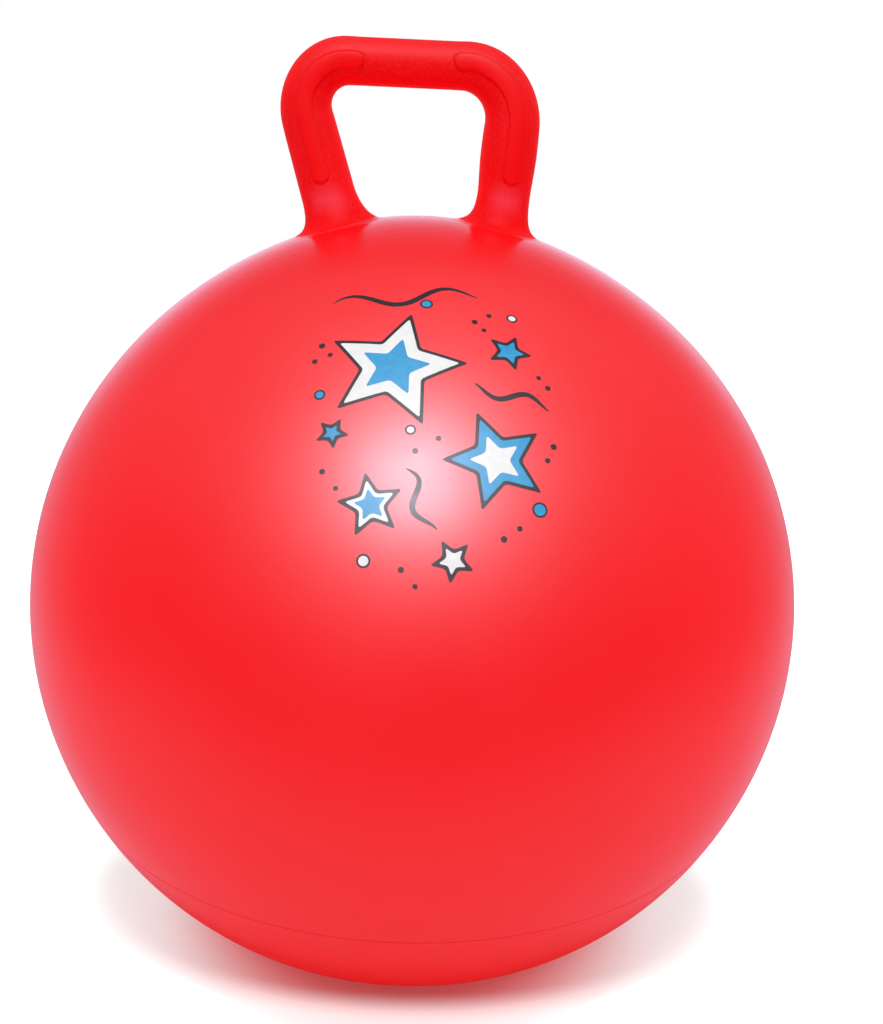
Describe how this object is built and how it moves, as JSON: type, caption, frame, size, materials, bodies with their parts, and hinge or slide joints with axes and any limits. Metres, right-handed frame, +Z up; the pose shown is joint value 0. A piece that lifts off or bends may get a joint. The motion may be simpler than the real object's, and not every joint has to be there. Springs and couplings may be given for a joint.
{
  "type": "hopper ball",
  "caption": "Inflated vinyl hopper ball with a hollow loop handle on two flared feet, a flat patch where it rests on the floor, and a push-in air valve plug.",
  "frame": {"origin": "middle of the flat patch that the ball stands on, at floor level", "axes": "+Z up along the ball's axis, +X along the handle's bar towards its right end as seen from the front, printed front towards -Y, valve at the back towards +Y"},
  "size_m": [0.4499, 0.45, 0.5337],
  "materials": {
    "ball_vinyl": "satin-glossy red vinyl skin with a fine moulded unevenness and a print on the front",
    "handle_vinyl": "matte, finely grained red vinyl above the flares, glossy on the flares",
    "valve_vinyl": "smooth red vinyl",
    "plug_plastic": "smooth white moulded plastic"
  },
  "bodies": {
    "ball": {"ball_skin": "ball_vinyl", "handle": "handle_vinyl", "valve_sleeve": "valve_vinyl"},
    "plug": {"valve_plug": "plug_plastic"}
  },
  "joints": [
    {"name": "plug_pull", "type": "slide", "parent": "ball", "child": "plug", "axis": [0, 0.8746, 0.4848], "range_m": [0, 0.045]}
  ]
}
